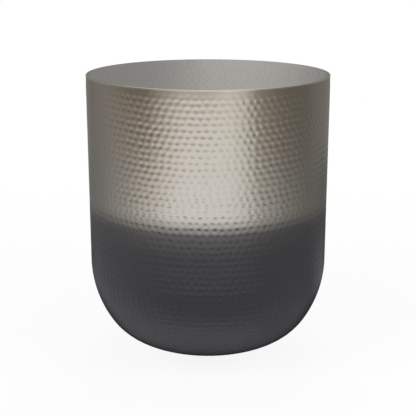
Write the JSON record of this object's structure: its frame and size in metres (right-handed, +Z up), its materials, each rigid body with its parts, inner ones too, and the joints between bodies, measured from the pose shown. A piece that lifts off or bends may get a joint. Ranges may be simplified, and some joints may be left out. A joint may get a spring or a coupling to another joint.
{
  "type": "drum side table",
  "caption": "Drum side table: hammered sheet cylinder on a spun bowl base, nickel fading to charcoal, flat hammered top with an edge bead, hidden levelling glides.",
  "frame": {"origin": "on the floor, under the drum's axis", "axes": "+Z up along the drum's axis, -Y towards the picture's camera, +Y to the wall's upright seam"},
  "size_m": [0.48, 0.48, 0.569],
  "materials": {
    "nickel_ombre": "satin",
    "charcoal": "satin",
    "nickel": "satin",
    "edge_bead": "polished",
    "mill_aluminium": "satin",
    "board": "matte",
    "zinc_steel": "satin",
    "iron": "matte",
    "foot_plastic": "matte"
  },
  "bodies": {
    "drum": {"drum_wall": "nickel_ombre", "bowl": "charcoal", "joint_band": "mill_aluminium", "seam_strip": "mill_aluminium", "bearer_ring": "mill_aluminium", "rim_ring": "edge_bead", "top_panel": "nickel", "top_board": "board", "tie_plate": "zinc_steel", "tie_plate_screws": "zinc_steel", "tie_rod": "zinc_steel", "tie_washer": "zinc_steel", "tie_nut": "zinc_steel", "base_board": "board", "ballast_disc": "iron", "ballast_bolts": "zinc_steel", "ballast_washers": "zinc_steel", "ballast_nuts": "zinc_steel", "glide_inserts": "zinc_steel"},
    "glide_foot_1": {"glide_foot_1": "foot_plastic"},
    "glide_stud_1": {"glide_stud_1": "zinc_steel"},
    "glide_foot_2": {"glide_foot_2": "foot_plastic"},
    "glide_stud_2": {"glide_stud_2": "zinc_steel"},
    "glide_foot_3": {"glide_foot_3": "foot_plastic"},
    "glide_stud_3": {"glide_stud_3": "zinc_steel"},
    "glide_foot_4": {"glide_foot_4": "foot_plastic"},
    "glide_stud_4": {"glide_stud_4": "zinc_steel"}
  },
  "joints": [
    {"name": "glide_1_drop", "type": "slide", "parent": "drum", "child": "glide_foot_1", "axis": [0, 0, -1], "range_m": [0, 0.005]},
    {"name": "glide_1_turn", "type": "hinge", "parent": "glide_foot_1", "child": "glide_stud_1", "pos_m": [0.03535, 0.03535, 0.011], "axis": [0, 0, -1], "range_deg": [0, 1440]},
    {"name": "glide_2_drop", "type": "slide", "parent": "drum", "child": "glide_foot_2", "axis": [0, 0, -1], "range_m": [0, 0.005]},
    {"name": "glide_2_turn", "type": "hinge", "parent": "glide_foot_2", "child": "glide_stud_2", "pos_m": [-0.03535, 0.03535, 0.011], "axis": [0, 0, -1], "range_deg": [0, 1440]},
    {"name": "glide_3_drop", "type": "slide", "parent": "drum", "child": "glide_foot_3", "axis": [0, 0, -1], "range_m": [0, 0.005]},
    {"name": "glide_3_turn", "type": "hinge", "parent": "glide_foot_3", "child": "glide_stud_3", "pos_m": [-0.03535, -0.03535, 0.011], "axis": [0, 0, -1], "range_deg": [0, 1440]},
    {"name": "glide_4_drop", "type": "slide", "parent": "drum", "child": "glide_foot_4", "axis": [0, 0, -1], "range_m": [0, 0.005]},
    {"name": "glide_4_turn", "type": "hinge", "parent": "glide_foot_4", "child": "glide_stud_4", "pos_m": [0.03535, -0.03535, 0.011], "axis": [0, 0, -1], "range_deg": [0, 1440]}
  ],
  "couplings": [
    {"joint": "glide_1_drop", "follows": "glide_1_turn", "m_per_rad": 0.00019894},
    {"joint": "glide_2_drop", "follows": "glide_2_turn", "m_per_rad": 0.00019894},
    {"joint": "glide_3_drop", "follows": "glide_3_turn", "m_per_rad": 0.00019894},
    {"joint": "glide_4_drop", "follows": "glide_4_turn", "m_per_rad": 0.00019894}
  ]
}
